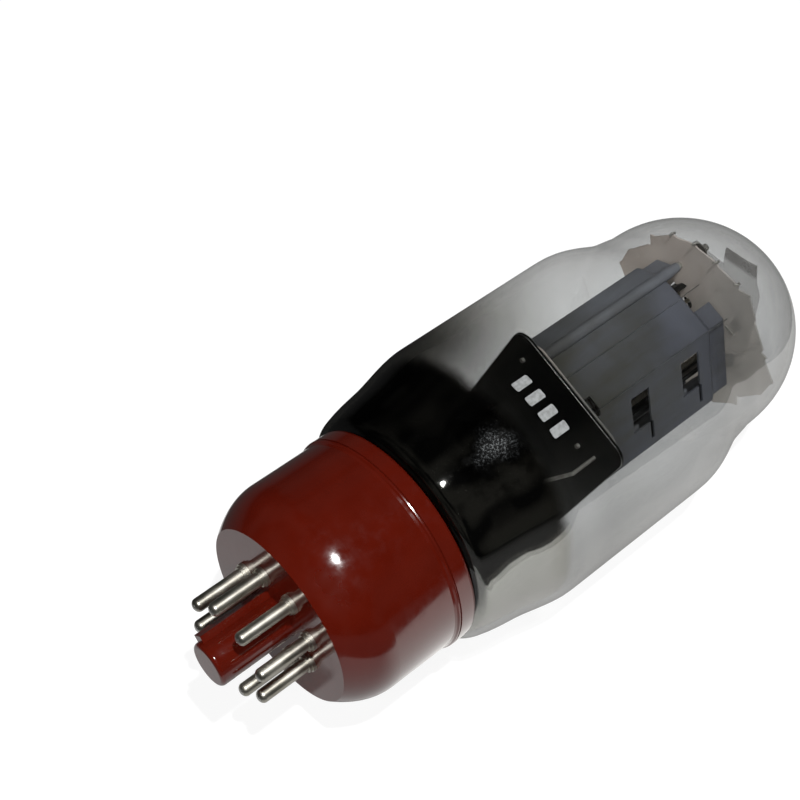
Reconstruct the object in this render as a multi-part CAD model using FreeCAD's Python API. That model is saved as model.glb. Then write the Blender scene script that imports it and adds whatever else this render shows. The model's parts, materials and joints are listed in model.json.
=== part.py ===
"""Vacuum tube: a glass beam-power tube on a moulded octal base, lying on its side.

Frame: millimetres.  The origin is the centre of the base's flat seating face.
+X runs along the tube's axis from the base to the dome, so the pins point to -X.
+Z is up as the tube lies, with the locating key's angle measured from +Y towards +Z.
"""
import FreeCAD
import Part
import math
import os

# ---- directions ----------------------------------------------------------------
ORIGIN = FreeCAD.Vector(0, 0, 0)
AXIS = FreeCAD.Vector(1, 0, 0)

# ---- gaps between neighbouring pieces --------------------------------------------
HAIR_GAP = 0.01
TOUCH_GAP = 0.02
FIT_GAP = 0.05
SMALL_GAP = 0.1
SAME_PLACE = 0.01

# ---- moulded base --------------------------------------------------------------
FACE_R = 16.3
BOWL_R = 19.85
BOWL_LENGTH = 8.5
BAND_OUTLINE = [(20.1, 19.85), (20.5, 20.0), (20.75, 20.25), (20.95, 20.3), (21.0, 20.08),
                (21.2, 20.08), (21.25, 20.3), (23.8, 20.3), (24.15, 20.2), (24.3, 19.95)]
BASE_FLOOR = 2.2
BASE_FLOOR_R = 15.4
BASE_BORE_R = 18.3
BASE_BORE_LOW = 9.0
BASE_BORE_TOP = 22.0
BASE_MOUTH_R = 19.85
SPIGOT_R = 3.95
SPIGOT_LENGTH = 14.0
SPIGOT_ROOT = 0.5
SPIGOT_TIP_ROUND = 0.7
SPIGOT_BORE_R = 2.3
SPIGOT_BORE_DEPTH = 9.0
KEY_ANGLE = 48.7
KEY_WIDTH = 2.3
KEY_PROUD = 1.1
KEY_START = 0.9

# ---- contact pins --------------------------------------------------------------
PIN_CIRCLE_R = 8.725
PIN_ANGLES = {1: 71.2, 2: 116.2, 3: 161.2, 4: 206.2, 5: 251.2, 7: 341.2, 8: 26.2}
PIN_R = 1.18
PIN_BORE_R = 0.75
PIN_NOSE_START = 9.55
PIN_NOSE_LENGTH = 0.95
PIN_NOSE_STEPS = 6
PIN_ROOT = 3.2
COLLAR_FRONT = (-1.1, 1.5)
COLLAR_BACK = (-0.6, 1.75)
PIN_FACE_GAP = 0.01
PIN_HOLE_R = 1.2
SWAGE_R = 1.7
SWAGE_GAP = 0.02
SOLDER_R = 0.73
SOLDER_BACK = 9.2

# ---- glass bulb ----------------------------------------------------------------
WALL = 1.0
NECK_START = 13.5
NECK_R = 17.6
NECK_END = 20.9
RIM_CURVE = [(20.9, 17.6), (22.7, 18.1), (23.9, 19.15), (24.6, 20.35), (25.4, 21.25), (26.9, 21.95)]
SHOULDER_CURVE = [(26.9, 21.95), (30.5, 22.8), (34.5, 23.45), (38.5, 24.4), (41.5, 25.05), (44.5, 25.35)]
BULB_R = 25.35
BULB_END = 76.0
WAIST_CURVE = [(76.0, 25.35), (79.0, 25.24), (82.5, 24.4), (85.5, 23.25), (88.5, 22.4),
               (92.0, 21.86), (95.9, 21.5)]
DOME_START = 95.9
DOME_R = 21.5
DOME_HEIGHT = 21.7
CEMENT_GAP = 0.03
CEMENT_SPAN = (14.1, 20.7)
MIRROR_GAP = 0.03
MIRROR_THICKNESS = 0.1
MIRROR_START = 21.1
MIRROR_END = 44.5

# ---- glass stem ----------------------------------------------------------------
STEM_RIM_R = 16.4
STEM_TUBE_R = 6.5
STEM_WALL = 0.9
STEM_RIM_X = 13.6
STEM_INSIDE = [(15.5, 10.0), (18.5, 7.1)]
STEM_OUTSIDE = [(22.1, 6.5), (18.9, 8.2), (16.1, 11.1)]
STEM_NECK_X = 21.5
STEM_TOP = 38.5
PINCH_HALF_WIDTH = 8.0
PINCH_HALF_THICK = 1.6
PINCH_FOOT = 1.2
PINCH_TOP = 45.5
EXHAUST_R = 1.9
EXHAUST_WALL = 0.6
EXHAUST_START = -3.0
EXHAUST_END = 34.5
EXHAUST_TIP = [(0.0, 0.0), (0.5, 0.9), (2.2, 1.9)]
EXHAUST_SEAL = (1.2, 3.0)

# ---- electrode assembly frame --------------------------------------------------
ASSEMBLY_ANGLE = 23.3
PLATE_X = 58.3
PLATE_THICK = 0.5
PLATE_HALF_U = 14.3
PLATE_HALF_V = 17.4
PLATE_CORNER = 3.0
MICA_THICK = 0.35
BOTTOM_MICA_X = 60.7
BOTTOM_MICA_HALF_U = 11.8
BOTTOM_MICA_HALF_V = 14.6
TOP_MICA_X = 100.5
UPPER_MICA_X = 105.9
TOP_MICA_OUTLINE = [(-24, 19.5), (-10, 18.8), (8, 17.0), (15, 18.5), (34, 18.2), (50, 17.5),
                    (68, 16.5), (88, 16.4), (97, 17.5), (113, 16.0), (136, 16.3), (141, 17.1)]
OUTLINE_SHIFT = 5.7
TOOTH_DEPTH = 0.5
TOOTH_TURN = 2.5
PEEP_HOLE = (3.4, 1.9)
PEEP_HOLE_R = 1.3
UPPER_MICA_OUTLINE = [(11.8, 5.5), (11.2, 9.0), (8.0, 9.6), (4.4, 10.6), (6.1, 14.2), (2.0, 15.9),
                      (-0.3, 17.2), (-2.4, 14.2), (-4.6, 12.4), (-9.0, 3.0)]

# ---- anode ---------------------------------------------------------------------
ANODE_START = 62.0
ANODE_FLARE_FROM = 95.2
ANODE_FLARE_TO = 96.2
ANODE_END = 100.1
ANODE_FLARE = 0.55
ANODE_SHEET = 0.4
ANODE_SECTION = [(8.1, 7.75), (7.0, 7.9), (3.7, 8.1), (-3.8, 8.1), (-13.6, -4.0), (-10.25, -6.8)]
SLEEVE_R = 1.15
SLEEVE_BORE_R = 0.75
SLEEVE_TAPER_FROM = 97.1
SLEEVE_END = 99.7
SLEEVE_TIP_R = 0.9
WINDOW_SPANS = [(74.1, 78.8), (87.5, 92.2)]
WINDOW_TOP = (-5.4, 6.0)
WINDOW_BOTTOM = (-10.3, -0.1)
SLIT_END = (-12.7, -3.0)
SLIT_WIDTH = 0.9
SLIT_INTO_WINDOW = 0.2
CUT_DEPTH = 4.0
CREST_V = 8.2
NOTCH_TOP = (0.5, 9.0)
FLARE_TO_NOTCH = 0.4
NOTCH_BOTTOM = (-4.7, -1.0)
NOTCH_BOTTOM_END = 66.5
ANODE_ROD_R = 0.7
ANODE_ROD = (9.3, 7.5)
ANODE_ROD_END = 108.1
TAB_AT = (-5.9, 6.7)
TAB_WIDTH = 2.2
TAB_THICK = 0.35
TAB_TOP = 103.1

# ---- electron optics -----------------------------------------------------------
GRID_TURN = 16.4
SCREEN_ROD_AT = 5.9
SCREEN_ROD_R = 0.5
SCREEN_HALF_HEIGHT = 3.1
CONTROL_ROD_AT = 3.9
CONTROL_ROD_R = 0.4
CONTROL_HALF_HEIGHT = 1.7
GRID_WIRE_R = 0.12
GRID_FIRST = 64.5
GRID_PITCH = 1.6
TURN_OVER_ROD = 0.6
GRID_TURNS = 21
CATHODE_HALF_WIDTH = 2.3
CATHODE_HALF_THICK = 0.75
CATHODE_WALL = 0.12
CATHODE_START = 59.5
CATHODE_END = 102.3
HEATER_R = 0.28
HEATER_INSET = 1.2
HEATER_LEGS = [-1.65, -0.55, 0.55, 1.65]
HEATER_END_X = 58.95
BEAM_PLATE_SECTION = [(6.9, -3.5), (7.6, -2.7), (7.8, 0.0), (7.6, 2.7), (6.9, 3.5)]
BEAM_PLATE_SHEET = 0.3
BEAM_TAB_HALF = 0.6
BEAM_TAB_HALF_THICK = 0.135
BEAM_TAB_PROUD = 1.2
BEAM_SLOT_HALF = 0.9
BEAM_SLOT_HALF_THICK = 0.5
SIDE_ROD_END = 103.9
SIDE_ROD_START = 59.4
FIN_HALF_WIDTH = 5.2
FIN_HALF_HEIGHT = 0.7
FIN_THICK = 0.3
FIN_START = 101.8
FIN_END = 105.1

# ---- wires, straps, getters ----------------------------------------------------
LEAD_R = 0.35
LEAD_START = 38.7
LEAD_LEAVES_PINCH = 47.0
PIN_WIRE_R = 0.3
PIN_WIRE_INNER_R = 4.4
PIN_WIRE_BENDS = (6.5, 19.5)
PIN_WIRE_END = 36.5
LEAD_BEND_X = 53.0
LEAD_OFFSETS = [-5.5, -3.3, -1.1, 1.1, 3.3, 5.5]
LEAD_NAMES = ["anode_lead", "heater_lead_a", "cathode_lead", "heater_lead_b", "control_grid_lead",
              "screen_grid_lead"]
LEAD_TOPS = {"anode_lead": (-10.2, 10.1), "heater_lead_a": (-4.9, -11.2),
             "cathode_lead": (-2.4, -8.6), "heater_lead_b": (2.4, -8.6),
             "control_grid_lead": (4.9, -11.2), "screen_grid_lead": (9.4, -6.2)}
LEAD_PINS = {"anode_lead": 3, "heater_lead_a": 2, "cathode_lead": 8, "heater_lead_b": 7,
             "control_grid_lead": 5, "screen_grid_lead": 4}
ROD_CLEARANCE = 0.04
GETTER_X = 34.5
GETTER_AT = 14.5
GETTER_ANGLES = [150.0, 210.0]
GETTER_RING_R = 3.6
GETTER_WIRE_R = 0.55
GETTER_FOOT_GAP = 0.5
GETTER_WIRE_LEAN = 2.5
GETTER_KNEE = 1.3
EYELET_R = 1.55
EYELET_THICK = 0.3
EYELET_HEIGHT = 0.8
EYELET_NECK_R = 1.12
SUPPORT_ROD_R = 0.45
SUPPORT_PROUD = 0.5
SUPPORT_RODS = [(10.3, 12.0), (-6.8, 8.5), (-10.3, -12.0), (6.8, -8.5)]


def vec(x, y=0.0, z=0.0):
    return FreeCAD.Vector(x, y, z)


def turned(shape, degrees):
    copy = shape.copy()
    copy.rotate(ORIGIN, AXIS, degrees)
    return copy


def revolved(points):
    """Solid of revolution about the tube's axis from a closed (x, r) polygon."""
    wire = Part.makePolygon([vec(x, 0, r) for x, r in points] + [vec(points[0][0], 0, points[0][1])])
    return Part.Face(wire).revolve(ORIGIN, AXIS, 360)


def rod(start, end, radius, at=(0.0, 0.0)):
    """Round rod parallel to the tube's axis, at the cross-section point (u, v)."""
    return Part.makeCylinder(radius, end - start, vec(start, at[0], at[1]), AXIS)


def block(start, end, at, half_u, half_v):
    """Rectangular block centred at (u, v), from axial station start to end."""
    return Part.makeBox(end - start, 2 * half_u, 2 * half_v, vec(start, at[0] - half_u, at[1] - half_v))


def plate(outline, start, thick):
    """Flat plate across the axis from a closed outline of (u, v) points."""
    corners = [vec(start, u, v) for u, v in outline]
    return Part.Face(Part.makePolygon(corners + corners[:1])).extrude(AXIS * thick)


def racetrack_wire(x, half_length, half_height):
    """Closed oval of two straights and two half circles, long along u."""
    flat = half_length - half_height
    top_left = vec(x, -flat, half_height)
    top_right = vec(x, flat, half_height)
    low_right = vec(x, flat, -half_height)
    low_left = vec(x, -flat, -half_height)
    right_arc = Part.Arc(top_right, vec(x, half_length, 0), low_right).toShape()
    left_arc = Part.Arc(low_left, vec(x, -half_length, 0), top_left).toShape()
    top = Part.makeLine(top_left, top_right)
    low = Part.makeLine(low_right, low_left)
    return Part.Wire([top, right_arc, low, left_arc])


def bent_wire(points, radius):
    """Round wire through the given points, with ball joints at its bends."""
    pieces = []
    for first, second in zip(points[:-1], points[1:]):
        step = second - first
        pieces.append(Part.makeCylinder(radius, step.Length, first, step))
    for corner in points[1:-1]:
        pieces.append(Part.makeSphere(radius, corner))
    return pieces[0].multiFuse(pieces[1:]) if len(pieces) > 1 else pieces[0]


def opposite(point):
    return (-point[0], -point[1])


def section_outline(points, thickness, outward=0.0):
    """Closed outline of a folded sheet: its centre line offset to both sides with mitred folds."""
    normals = []
    for first, second in zip(points[:-1], points[1:]):
        du = second[0] - first[0]
        dv = second[1] - first[1]
        length = math.hypot(du, dv)
        normals.append((-dv / length, du / length))
    outer = []
    inner = []
    for index, (u, v) in enumerate(points):
        before = normals[max(index - 1, 0)]
        after = normals[min(index, len(normals) - 1)]
        mid_u = before[0] + after[0]
        mid_v = before[1] + after[1]
        scale = 2.0 / (mid_u * mid_u + mid_v * mid_v)
        for side, offset in ((outer, outward + thickness / 2), (inner, outward - thickness / 2)):
            side.append((u + mid_u * scale * offset, v + mid_v * scale * offset))
    return outer + inner[::-1]


def outline_wire(outline, x):
    corners = [vec(x, u, v) for u, v in outline]
    return Part.makePolygon(corners + corners[:1])


# ---- base ----------------------------------------------------------------------
def base_shell():
    """Moulded bowl and band, with its spigot and the pins' holes."""
    curve = Part.BezierCurve()
    curve.setPoles([vec(0, 0, FACE_R), vec(BOWL_LENGTH / 2, 0, BOWL_R), vec(BOWL_LENGTH, 0, BOWL_R)])
    bowl = curve.toShape()
    rest = [(BOWL_LENGTH, BOWL_R)] + BAND_OUTLINE + [(BAND_OUTLINE[-1][0], BASE_MOUTH_R)]
    rest += [(BASE_BORE_TOP, BASE_BORE_R), (BASE_BORE_LOW, BASE_BORE_R), (BASE_FLOOR, BASE_FLOOR_R)]
    rest += [(BASE_FLOOR, 0.0), (0.0, 0.0)]
    rest += [(0.0, FACE_R)]
    sides = Part.makePolygon([vec(x, 0, r) for x, r in rest])
    shell = Part.Face(Part.Wire([bowl] + sides.Edges)).revolve(ORIGIN, AXIS, 360)
    shell = shell.fuse(spigot())
    shell = shell.cut(rod(-SPIGOT_BORE_DEPTH, BASE_FLOOR + 1, SPIGOT_BORE_R))
    holes = [rod(-1, BASE_FLOOR + 1, PIN_HOLE_R, pin_centre(number)) for number in PIN_ANGLES]
    return shell.cut(holes).removeSplitter()


def spigot():
    post = rod(-SPIGOT_LENGTH, SPIGOT_ROOT, SPIGOT_R)
    tip = [edge for edge in post.Edges if abs(edge.CenterOfMass.x + SPIGOT_LENGTH) < SAME_PLACE]
    post = post.makeFillet(SPIGOT_TIP_ROUND, tip[:1])
    key = block(KEY_START - SPIGOT_LENGTH, SPIGOT_ROOT, (SPIGOT_R / 2 + KEY_PROUD / 2, 0),
                SPIGOT_R / 2 + KEY_PROUD / 2, KEY_WIDTH / 2)
    return post.fuse(turned(key, KEY_ANGLE))


def pin_centre(number):
    angle = math.radians(PIN_ANGLES[number])
    return (PIN_CIRCLE_R * math.cos(angle), PIN_CIRCLE_R * math.sin(angle))


def nose_outline(low, high):
    """Points (x, r) on the pins' rounded nose, between two radii."""
    points = []
    for step in range(PIN_NOSE_STEPS + 1):
        radius = low + (high - low) * math.sin(math.pi / 2 * step / PIN_NOSE_STEPS)
        reach = PIN_NOSE_LENGTH * math.sqrt(max(1.0 - (radius / PIN_R) ** 2, 0.0))
        points.append((-PIN_NOSE_START - reach, radius))
    return points


def contact_pin(number):
    """Hollow plated pin with a stepped collar outside and a swaged ring inside the base."""
    swage = BASE_FLOOR + SWAGE_GAP
    outline = nose_outline(PIN_BORE_R, PIN_R)
    outline += [(COLLAR_FRONT[0], PIN_R), COLLAR_FRONT, (COLLAR_BACK[0], COLLAR_FRONT[1]), COLLAR_BACK]
    outline += [(-PIN_FACE_GAP, COLLAR_BACK[1]), (-PIN_FACE_GAP, PIN_R), (swage, PIN_R), (swage, SWAGE_R)]
    outline += [(PIN_ROOT, PIN_R), (PIN_ROOT, PIN_BORE_R)]
    pin = revolved(outline)
    u, v = pin_centre(number)
    pin.translate(vec(0, u, v))
    return pin


def solder_tips():
    """A domed bead of solder closing each pin's end."""
    outline = nose_outline(0.0, SOLDER_R) + [(-SOLDER_BACK, SOLDER_R), (-SOLDER_BACK, 0.0)]
    beads = []
    for number in PIN_ANGLES:
        bead = revolved(outline)
        u, v = pin_centre(number)
        bead.translate(vec(0, u, v))
        beads.append(bead)
    return Part.makeCompound(beads)


def base_cement():
    low, high = CEMENT_SPAN
    outer = BASE_BORE_R - CEMENT_GAP
    inner = NECK_R + CEMENT_GAP
    return revolved([(low, inner), (low, outer), (high, outer), (high, inner)])


# ---- glass ---------------------------------------------------------------------
def spline(points, first_slope, last_slope):
    curve = Part.BSplineCurve()
    curve.interpolate(Points=[vec(x, 0, r) for x, r in points],
                      InitialTangent=vec(1, 0, first_slope), FinalTangent=vec(1, 0, last_slope))
    return curve.toShape()


def bulb_curves():
    """The bulb's outside, neck to waist, as four smooth edges that share their tangents."""
    neck = Part.makeLine(vec(NECK_START, 0, NECK_R), vec(NECK_END, 0, NECK_R))
    rim = spline(RIM_CURVE, 0.0, 0.3)
    shoulder = spline(SHOULDER_CURVE, 0.3, 0.0)
    barrel = Part.makeLine(vec(SHOULDER_CURVE[-1][0], 0, BULB_R), vec(BULB_END, 0, BULB_R))
    waist = spline(WAIST_CURVE, 0.0, 0.0)
    return [neck, rim, shoulder, barrel, waist]


def dome_curve(inset):
    """Quarter ellipse from the waist to the tip of the dome."""
    height = DOME_HEIGHT - inset
    radius = DOME_R - inset
    ellipse = Part.Ellipse(vec(DOME_START + height, 0, 0), vec(DOME_START, 0, radius), vec(DOME_START, 0, 0))
    quarter = math.pi / 2
    return ellipse.toShape(0, quarter)


def inset_points(edge, inset, count):
    """Points on a curve moved towards the axis along its normals."""
    first, last = edge.ParameterRange
    points = []
    for step in range(count + 1):
        parameter = first + (last - first) * step / count
        spot = edge.valueAt(parameter)
        tangent = edge.tangentAt(parameter)
        normal = vec(tangent.z, 0, -tangent.x)
        points.append(spot + normal * inset)
    return points


def inset_curves(inset):
    """The bulb's outline at a depth below its outside, as edges matching bulb_curves."""
    edges = []
    for edge in bulb_curves():
        if edge.Curve.TypeId == "Part::GeomLine":
            ends = inset_points(edge, inset, 1)
            edges.append(Part.makeLine(ends[0], ends[1]))
        else:
            first, last = edge.ParameterRange
            curve = Part.BSplineCurve()
            curve.interpolate(Points=inset_points(edge, inset, 16),
                              InitialTangent=edge.tangentAt(first), FinalTangent=edge.tangentAt(last))
            edges.append(curve.toShape())
    return edges


def glass_envelope():
    """Blown bulb: neck inside the base, bead over its rim, shoulder, barrel, waist and dome."""
    outer = bulb_curves() + [dome_curve(0.0)]
    inner = inset_curves(WALL) + [dome_curve(WALL)]
    mouth = Part.makeLine(vec(NECK_START, 0, NECK_R), vec(NECK_START, 0, NECK_R - WALL))
    tip = Part.makeLine(vec(DOME_START + DOME_HEIGHT, 0, 0), vec(DOME_START + DOME_HEIGHT - WALL, 0, 0))
    wire = Part.Wire(Part.__sortEdges__(outer + inner + [mouth, tip]))
    return Part.Face(wire).revolve(ORIGIN, AXIS, 360)


def getter_mirror():
    """Thin evaporated metal film on the inside of the shoulder and lower barrel."""
    near = WALL + MIRROR_GAP
    shape = None
    for inset in (near, near + MIRROR_THICKNESS):
        edges = inset_curves(inset)
        top = Part.makeLine(edges[-1].Vertexes[-1].Point, vec(DOME_START, 0, 0))
        close = [Part.makeLine(edges[0].Vertexes[0].Point, vec(NECK_START, 0, 0)), top,
                 Part.makeLine(vec(NECK_START, 0, 0), vec(DOME_START, 0, 0))]
        body = Part.Face(Part.Wire(Part.__sortEdges__(edges + close))).revolve(ORIGIN, AXIS, 360)
        shape = body if shape is None else shape.cut(body)
    return shape.common(rod(MIRROR_START, MIRROR_END, BULB_R + 5))


def stem_flare():
    """Re-entrant glass tube sealed to the neck, carrying the pinch."""
    bore = STEM_TUBE_R - STEM_WALL
    inside = [(STEM_RIM_X, STEM_RIM_R), (STEM_RIM_X, STEM_RIM_R - STEM_WALL)]
    inside += STEM_INSIDE + [(STEM_NECK_X, bore), (STEM_TOP, bore)]
    outside = [(STEM_TOP, STEM_TUBE_R)] + STEM_OUTSIDE + [(STEM_RIM_X + STEM_WALL, STEM_RIM_R)]
    return revolved(inside + outside)


def stem_pinch():
    """Flattened glass press that seals the lead wires, with their channels open in it."""
    low = rod(STEM_TOP + TOUCH_GAP, STEM_TOP + PINCH_FOOT, STEM_TUBE_R)
    press = block(STEM_TOP + PINCH_FOOT / 2, PINCH_TOP, (0, 0), PINCH_HALF_WIDTH, PINCH_HALF_THICK)
    body = low.fuse(press)
    bore = LEAD_R + ROD_CLEARANCE
    channels = [rod(STEM_TOP - 1, PINCH_TOP + 1, bore, (offset, 0)) for offset in LEAD_OFFSETS]
    return body.cut(channels)


def exhaust_tip():
    """Sealed-off pumping tube running down into the spigot."""
    bore = EXHAUST_R - EXHAUST_WALL
    tip = [(EXHAUST_START + along, radius) for along, radius in EXHAUST_TIP]
    outline = tip + [(EXHAUST_END, EXHAUST_R), (EXHAUST_END, bore), (EXHAUST_START + EXHAUST_SEAL[1], bore),
                     (EXHAUST_START + EXHAUST_SEAL[0], 0.0)]
    return revolved(outline)


def lead_wire(name):
    """One lead: from its pin's bore, through the stem and pinch, to below the bottom plate."""
    offset = LEAD_OFFSETS[LEAD_NAMES.index(name)]
    turned_in = math.radians(ASSEMBLY_ANGLE)
    pinch_y = offset * math.cos(turned_in)
    pinch_z = offset * math.sin(turned_in)
    top_u, top_v = LEAD_TOPS[name]
    top_y = top_u * math.cos(turned_in) - top_v * math.sin(turned_in)
    top_z = top_u * math.sin(turned_in) + top_v * math.cos(turned_in)
    points = [vec(LEAD_START, pinch_y, pinch_z), vec(LEAD_LEAVES_PINCH, pinch_y, pinch_z),
              vec(LEAD_BEND_X, top_y, top_z), vec(BOTTOM_MICA_X - SMALL_GAP, top_y, top_z)]
    return bent_wire(points, LEAD_R)


def pin_wires():
    """Thin wires from six of the pins up towards the stem, inside the base."""
    wires = []
    for name in LEAD_NAMES:
        u, v = pin_centre(LEAD_PINS[name])
        scale = PIN_WIRE_INNER_R / PIN_CIRCLE_R
        points = [vec(-SOLDER_BACK + SMALL_GAP, u, v), vec(PIN_WIRE_BENDS[0], u, v),
                  vec(PIN_WIRE_BENDS[1], u * scale, v * scale), vec(PIN_WIRE_END, u * scale, v * scale)]
        wires.append(bent_wire(points, PIN_WIRE_R))
    return Part.makeCompound(wires)


# ---- electrode assembly --------------------------------------------------------
def rounded_plate(start, thick, half_u, half_v, corner):
    body = block(start, start + thick, (0, 0), half_u, half_v)
    edges = [edge for edge in body.Edges if abs(edge.Length - thick) < 1e-6]
    return body.makeFillet(corner, edges)


def grid_point(across, along=0.0):
    """Cross-section point on the grids' own axes, turned to the assembly's axes."""
    turn = math.radians(GRID_TURN)
    u = across * math.cos(turn) - along * math.sin(turn)
    v = across * math.sin(turn) + along * math.cos(turn)
    return (u, v)


def grid_rod_points():
    spots = [grid_point(side * SCREEN_ROD_AT) for side in (-1, 1)]
    return spots + [grid_point(side * CONTROL_ROD_AT) for side in (-1, 1)]


def through_holes(start, end):
    """Clearances for the rods and the cathode in a mica or plate."""
    holes = [rod(start, end, ANODE_ROD_R + ROD_CLEARANCE, spot) for spot in (ANODE_ROD, opposite(ANODE_ROD))]
    for spot in grid_rod_points():
        holes.append(rod(start, end, SCREEN_ROD_R + ROD_CLEARANCE, spot))
    centre = Part.Face(racetrack_wire(start, CATHODE_HALF_WIDTH + SMALL_GAP, CATHODE_HALF_THICK + SMALL_GAP))
    holes.append(turned(centre, GRID_TURN).extrude(AXIS * (end - start)))
    for side in (0, 180):
        tab = block(start, end, grid_point(BEAM_PLATE_SECTION[2][0]), BEAM_SLOT_HALF_THICK, BEAM_SLOT_HALF)
        holes.append(turned(tab, side))
    return holes


def bottom_shield():
    body = rounded_plate(PLATE_X, PLATE_THICK, PLATE_HALF_U, PLATE_HALF_V, PLATE_CORNER)
    posts = [rod(PLATE_X - 1, PLATE_X + 2, SUPPORT_ROD_R + ROD_CLEARANCE, spot) for spot in SUPPORT_RODS]
    leads = [rod(PLATE_X - 1, PLATE_X + 2, LEAD_R + ROD_CLEARANCE, spot) for spot in LEAD_TOPS.values()]
    return body.cut(posts + leads)


def support_rods():
    """Four short rods that stand just proud of the bottom plate and space it from the mica."""
    start = PLATE_X - SUPPORT_PROUD
    rods = [rod(start, BOTTOM_MICA_X - FIT_GAP, SUPPORT_ROD_R, spot) for spot in SUPPORT_RODS]
    return Part.makeCompound(rods)


def bottom_mica():
    body = rounded_plate(BOTTOM_MICA_X, MICA_THICK, BOTTOM_MICA_HALF_U, BOTTOM_MICA_HALF_V, PLATE_CORNER)
    return body.cut(through_holes(BOTTOM_MICA_X - 1, BOTTOM_MICA_X + 1))


def top_mica():
    """Oval mica with notched shoulders and two pairs of spring corners."""
    outline = []
    for half in (0, 180):
        for degrees, radius in TOP_MICA_OUTLINE:
            angle = math.radians(degrees + half + OUTLINE_SHIFT)
            outline.append((radius * math.cos(angle), radius * math.sin(angle)))
            after = math.radians(degrees + half + OUTLINE_SHIFT + TOOTH_TURN)
            inner = radius - TOOTH_DEPTH
            outline.append((inner * math.cos(after), inner * math.sin(after)))
    body = plate(outline, TOP_MICA_X, MICA_THICK)
    tabs = [tab_slot(spot) for spot in (TAB_AT, opposite(TAB_AT))]
    peep = rod(TOP_MICA_X - 1, TOP_MICA_X + 1, PEEP_HOLE_R, PEEP_HOLE)
    return body.cut(through_holes(TOP_MICA_X - 1, TOP_MICA_X + 1) + tabs + [peep])


def tab_slot(spot):
    return block(TOP_MICA_X - 1, TOP_MICA_X + 1, spot, TAB_WIDTH / 2 + SMALL_GAP, TAB_THICK / 2 + SMALL_GAP)


def upper_mica():
    """Narrow spring mica whose pointed ends reach towards the dome."""
    outline = UPPER_MICA_OUTLINE + [opposite(point) for point in UPPER_MICA_OUTLINE]
    body = plate(outline, UPPER_MICA_X, MICA_THICK)
    holes = [rod(UPPER_MICA_X - 1, UPPER_MICA_X + 1, ANODE_ROD_R + ROD_CLEARANCE, spot)
             for spot in (ANODE_ROD, opposite(ANODE_ROD))]
    return body.cut(holes)


def anode_half(side):
    """Folded sheet half of the anode; side 0 faces the notch, side 180 is its twin."""
    points = ANODE_SECTION
    straight = section_outline(points, ANODE_SHEET)
    flared = section_outline(points, ANODE_SHEET, ANODE_FLARE)
    body = Part.Face(outline_wire(straight, ANODE_START)).extrude(AXIS * (ANODE_FLARE_FROM - ANODE_START))
    ramp = Part.makeLoft([outline_wire(straight, ANODE_FLARE_FROM), outline_wire(flared, ANODE_FLARE_TO)],
                         True, True)
    end = Part.Face(outline_wire(flared, ANODE_FLARE_TO)).extrude(AXIS * (ANODE_END - ANODE_FLARE_TO))
    body = body.fuse([ramp, end])
    return turned(body.cut(anode_cutters()), side)


def anode_sleeve(side):
    """Rolled seam of the anode round its support rod, pinched at the top end."""
    spot = ANODE_ROD if side == 0 else opposite(ANODE_ROD)
    sleeve = revolved([(ANODE_START, SLEEVE_BORE_R), (ANODE_START, SLEEVE_R), (SLEEVE_TAPER_FROM, SLEEVE_R),
                       (SLEEVE_END, SLEEVE_TIP_R), (SLEEVE_END, SLEEVE_BORE_R)])
    sleeve.translate(vec(0, spot[0], spot[1]))
    return sleeve


def anode_cutters():
    """Two windows with slits in the slanted facet, and the notches in the ends."""
    facet = math.degrees(math.atan2(WINDOW_TOP[1] - WINDOW_BOTTOM[1], WINDOW_TOP[0] - WINDOW_BOTTOM[0]))
    height = math.hypot(WINDOW_TOP[0] - WINDOW_BOTTOM[0], WINDOW_TOP[1] - WINDOW_BOTTOM[1])
    reach = math.hypot(WINDOW_BOTTOM[0] - SLIT_END[0], WINDOW_BOTTOM[1] - SLIT_END[1])
    cutters = []
    for start, end in WINDOW_SPANS:
        window = Part.makeBox(end - start, height, CUT_DEPTH, vec(start, 0, -CUT_DEPTH / 2))
        slit = Part.makeBox(SLIT_WIDTH, reach + SLIT_INTO_WINDOW, CUT_DEPTH,
                            vec(end - SLIT_WIDTH / 2, -reach, -CUT_DEPTH / 2))
        cut = window.fuse(slit)
        cut.rotate(ORIGIN, AXIS, facet)
        cut.translate(vec(0, WINDOW_BOTTOM[0], WINDOW_BOTTOM[1]))
        cutters.append(cut)
    notch_mid = (NOTCH_TOP[0] + NOTCH_TOP[1]) / 2
    notch_half = (NOTCH_TOP[1] - NOTCH_TOP[0]) / 2
    notch_start = ANODE_FLARE_FROM + FLARE_TO_NOTCH
    cutters.append(block(notch_start, ANODE_END + 1, (notch_mid, CREST_V), notch_half, CUT_DEPTH / 2))
    low_mid = (NOTCH_BOTTOM[0] + NOTCH_BOTTOM[1]) / 2
    low_half = (NOTCH_BOTTOM[1] - NOTCH_BOTTOM[0]) / 2
    cutters.append(block(ANODE_START - 1, NOTCH_BOTTOM_END, (low_mid, CREST_V), low_half, CUT_DEPTH / 2))
    return cutters


def anode_rod(side):
    spot = ANODE_ROD if side == 0 else opposite(ANODE_ROD)
    return rod(PLATE_X + PLATE_THICK + FIT_GAP, ANODE_ROD_END, ANODE_ROD_R, spot)


def anode_tabs():
    """Tongues of the anode folded through the top mica."""
    tabs = [block(ANODE_END + FIT_GAP, TAB_TOP, spot, TAB_WIDTH / 2, TAB_THICK / 2)
            for spot in (TAB_AT, opposite(TAB_AT))]
    return Part.makeCompound(tabs)


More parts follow.
